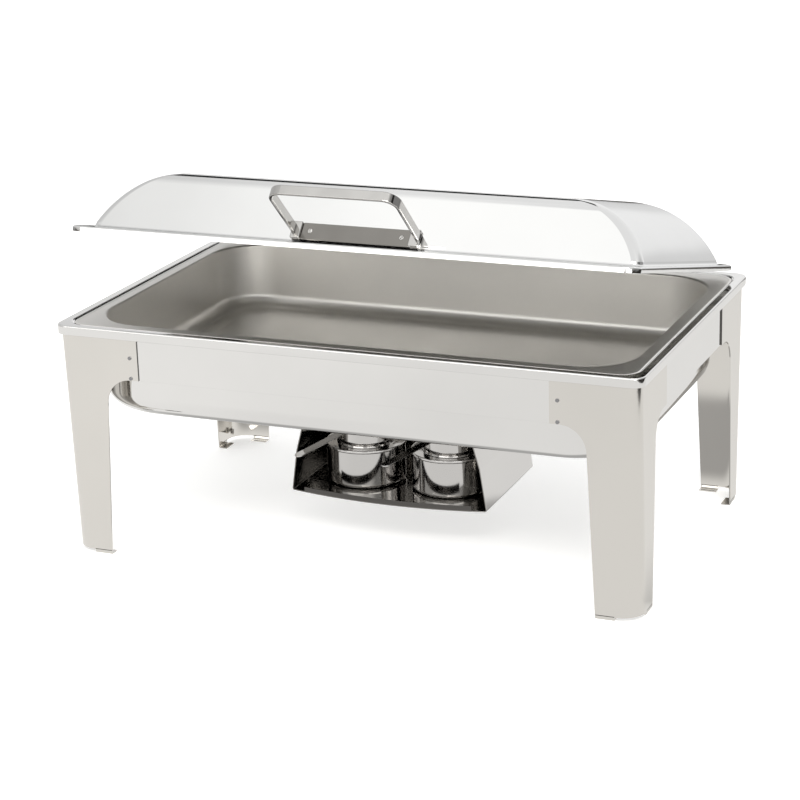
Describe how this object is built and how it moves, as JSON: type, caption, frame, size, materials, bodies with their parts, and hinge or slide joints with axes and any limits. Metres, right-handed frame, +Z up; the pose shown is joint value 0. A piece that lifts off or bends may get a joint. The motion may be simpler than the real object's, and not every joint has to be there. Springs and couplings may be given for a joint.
{
  "type": "chafing dish food warmer",
  "caption": "Rectangular stainless-steel food warmer with a hinged domed lid, nested food and water pans, sheet legs and a slide-out tray of fuel burners.",
  "frame": {"origin": "bottom centre of the whole object's box, on the surface it stands on", "axes": "+X along the long side to the viewer's right, -Y towards the front (handle side), +Z up"},
  "size_m": [0.55, 0.363, 0.3582],
  "materials": {
    "polished_steel": "mirror-polished stainless steel",
    "satin_steel": "satin stainless steel",
    "dark_steel": "dark oiled steel"
  },
  "bodies": {
    "stand": {"rim_frame": "polished_steel", "leg_front_left": "polished_steel", "leg_front_right": "polished_steel", "leg_back_left": "polished_steel", "leg_back_right": "polished_steel", "leg_rivets": "satin_steel", "water_pan": "polished_steel", "food_pan": "satin_steel", "tray_rail_left": "polished_steel", "tray_rail_right": "polished_steel", "hinge_bracket_left": "polished_steel", "hinge_bracket_right": "polished_steel", "bracket_rivets": "satin_steel", "hinge_pin_left": "satin_steel", "hinge_pin_right": "satin_steel", "pin_clips": "dark_steel", "friction_washers": "dark_steel"},
    "lid": {"lid_cover": "polished_steel", "handle_base_plate": "satin_steel", "lid_handle": "polished_steel", "handle_studs": "satin_steel", "handle_cap_nuts": "polished_steel", "lid_hinge_leaf_left": "polished_steel", "lid_hinge_leaf_right": "polished_steel", "leaf_rivets": "satin_steel"},
    "tray": {"burner_tray": "polished_steel", "burner_cup_left": "polished_steel", "burner_cup_right": "polished_steel", "burner_top_left": "polished_steel", "burner_top_right": "polished_steel", "shutter_rivets": "satin_steel"},
    "shutter_left": {"burner_shutter_left": "polished_steel"},
    "shutter_right": {"burner_shutter_right": "polished_steel"}
  },
  "joints": [
    {"name": "lid_hinge", "type": "hinge", "parent": "stand", "child": "lid", "pos_m": [0, 0.174, 0.228], "axis": [-1, 0, 0], "range_deg": [-14, 76]},
    {"name": "tray_slide", "type": "slide", "parent": "stand", "child": "tray", "axis": [0, -1, 0], "range_m": [0, 0.115]},
    {"name": "shutter_left_turn", "type": "hinge", "parent": "tray", "child": "shutter_left", "pos_m": [-0.043, -0.02, 0.0955], "axis": [0, 0, 1], "range_deg": [0, 45]},
    {"name": "shutter_right_turn", "type": "hinge", "parent": "tray", "child": "shutter_right", "pos_m": [0.043, -0.02, 0.0955], "axis": [0, 0, 1], "range_deg": [0, 45]}
  ]
}
